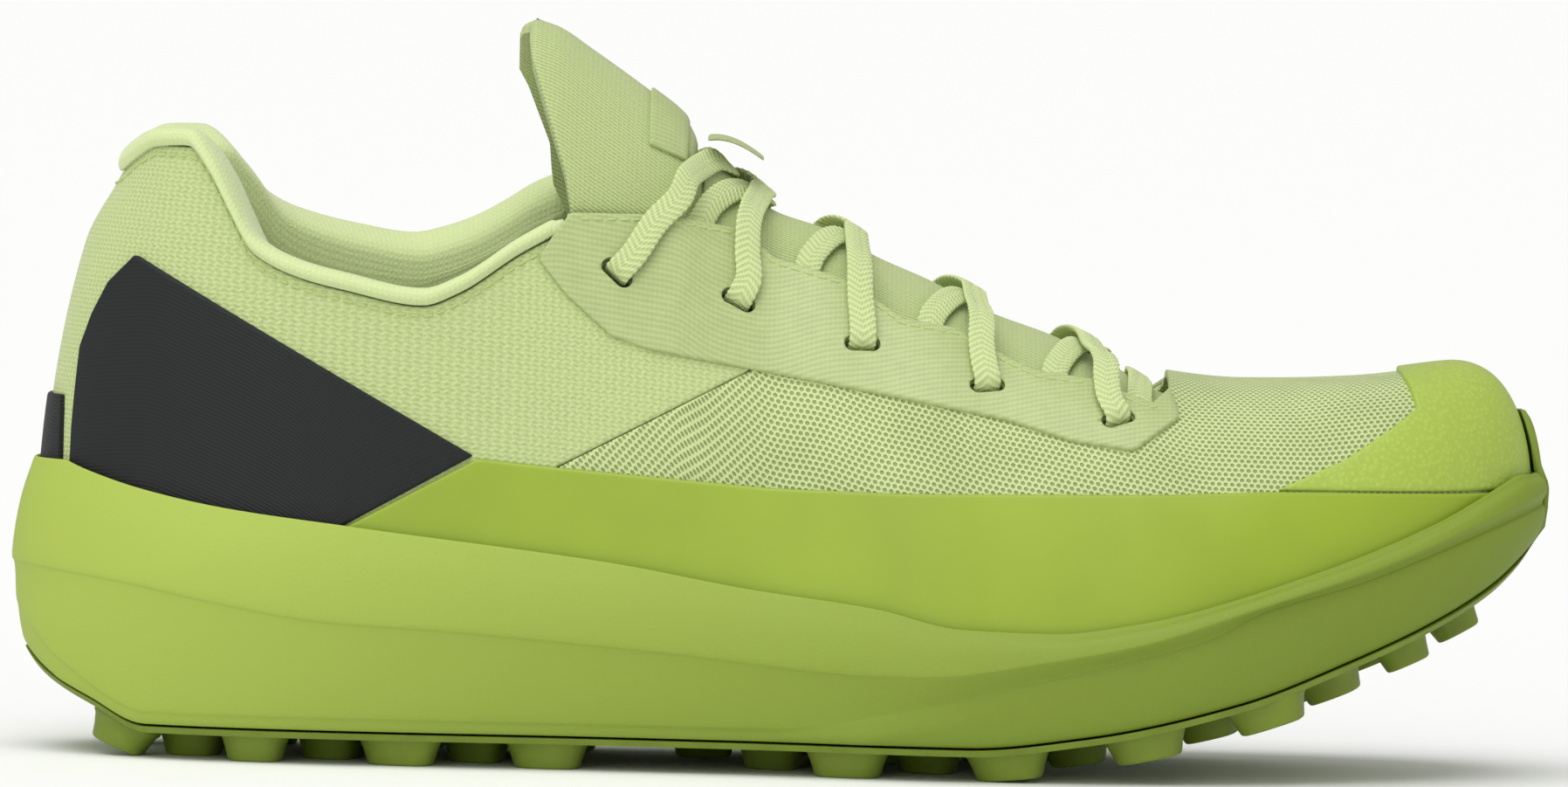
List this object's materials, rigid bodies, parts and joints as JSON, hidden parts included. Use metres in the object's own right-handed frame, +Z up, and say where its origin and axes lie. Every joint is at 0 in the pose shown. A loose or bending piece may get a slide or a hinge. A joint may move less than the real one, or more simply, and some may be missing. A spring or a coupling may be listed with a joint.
{
  "type": "running shoe",
  "caption": "Low-cut right running shoe with a thick foam sole, lugged rubber outsole, knit and mesh upper, padded collar and flat lacing.",
  "frame": {"origin": "centre of the bounding box in plan, at the ground under the outsole's lugs", "axes": "+X from heel to toe, +Y towards the medial (inner) side, +Z up"},
  "size_m": [0.2968, 0.1056, 0.1447],
  "materials": {
    "rubber": "matte outsole rubber",
    "foam": "moulded foam, matte with a fine grain",
    "board": "plain woven board",
    "sock": "brushed knit over foam",
    "stiffener": "thin thermoplastic sheet",
    "knit": "engineered knit",
    "mesh": "open mesh",
    "clear_film": "satin film",
    "rand_film": "smooth satin film",
    "cap_film": "embossed film",
    "black_fabric": "fine twill",
    "lining": "brushed lining",
    "tongue_knit": "ribbed knit",
    "label": "satin label",
    "lace": "flat braid",
    "aglet": "clear sleeve"
  },
  "bodies": {
    "shoe": {"outsole": "rubber", "midsole": "foam", "strobel_board": "board", "sockliner": "sock", "heel_counter": "stiffener", "toe_puff": "stiffener", "quarter_lateral": "knit", "quarter_medial": "knit", "eyestay_lateral": "clear_film", "eyestay_medial": "clear_film", "eyestay_backing_lateral": "board", "eyestay_backing_medial": "board", "rand_lateral": "rand_film", "rand_medial": "rand_film", "heel_panel_lateral": "black_fabric", "heel_panel_medial": "black_fabric", "vamp": "mesh", "toe_cap": "cap_film", "heel_strip": "black_fabric", "lining": "lining", "collar_padding": "lining", "tongue_base": "tongue_knit", "lace": "lace", "aglet_start": "aglet", "aglet_end": "aglet"},
    "tongue_flap": {"tongue_top": "tongue_knit", "tongue_label": "label"},
    "pull_tab": {"tongue_tab": "label"}
  },
  "joints": [
    {"name": "tongue_fold", "type": "hinge", "parent": "shoe", "child": "tongue_flap", "pos_m": [-0.01731, 0.0002, 0.1194], "axis": [0, 1, 0], "range_deg": [0, 25]},
    {"name": "tab_lift", "type": "hinge", "parent": "shoe", "child": "pull_tab", "pos_m": [-0.01551, 0.0002, 0.1181], "axis": [0, -1, 0], "range_deg": [0, 25]}
  ]
}
